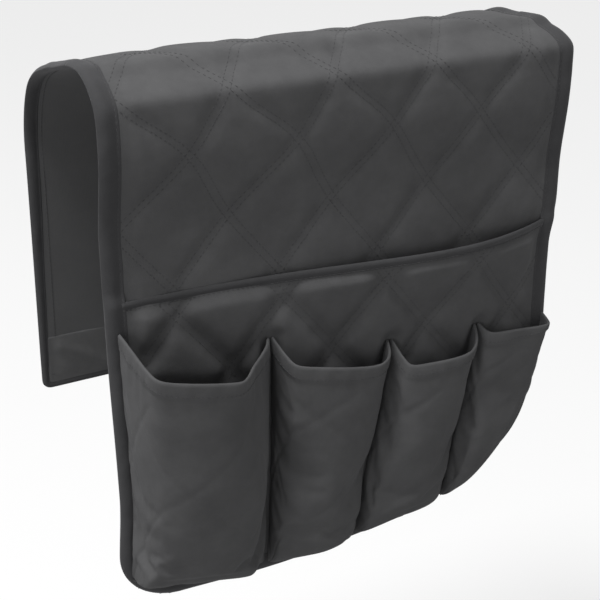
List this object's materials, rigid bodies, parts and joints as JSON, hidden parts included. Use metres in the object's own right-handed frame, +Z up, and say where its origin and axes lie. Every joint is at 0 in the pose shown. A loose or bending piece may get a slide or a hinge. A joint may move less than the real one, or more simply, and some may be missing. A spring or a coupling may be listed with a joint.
{
  "type": "armrest organizer",
  "caption": "Quilted cloth saddle that hangs over a sofa armrest, with a full-width magazine pocket and a row of open pouches for remotes, phone, pens and glasses.",
  "frame": {"origin": "middle of the flat underside of the top, where the saddle rests on the armrest", "axes": "+X along the armrest, -Y towards the pockets, +Z up"},
  "size_m": [0.332, 0.2098, 0.3511],
  "materials": {
    "quilted_cover": "brushed microfibre, quilted",
    "pouch_cloth": "brushed microfibre",
    "lining": "smooth woven",
    "binding_tape": "woven tape",
    "wadding": "fibre wadding"
  },
  "bodies": {
    "top": {"top_cover": "quilted_cover", "top_wadding": "wadding", "top_lining": "lining", "top_left_binding": "binding_tape", "top_right_binding": "binding_tape"},
    "front_drop": {"front_cover": "quilted_cover", "front_wadding": "wadding", "front_lining": "lining", "front_edge_binding": "binding_tape", "magazine_pocket_cover": "quilted_cover", "magazine_pocket_lining": "lining", "magazine_pocket_binding": "binding_tape", "remote_pouch": "pouch_cloth", "phone_pouch": "pouch_cloth", "pen_pouch": "pouch_cloth", "glasses_pouch": "pouch_cloth"},
    "back_drop": {"back_cover": "quilted_cover", "back_wadding": "wadding", "back_lining": "lining", "back_hem_facing": "quilted_cover", "back_edge_binding": "binding_tape"}
  },
  "joints": [
    {"name": "front_fold", "type": "hinge", "parent": "top", "child": "front_drop", "pos_m": [0, -0.03862, -0.00438], "axis": [-1, 0, 0], "range_deg": [0, 90]},
    {"name": "back_fold", "type": "hinge", "parent": "top", "child": "back_drop", "pos_m": [0, 0.07539, -0.01961], "axis": [1, 0, 0], "range_deg": [0, 90]}
  ]
}
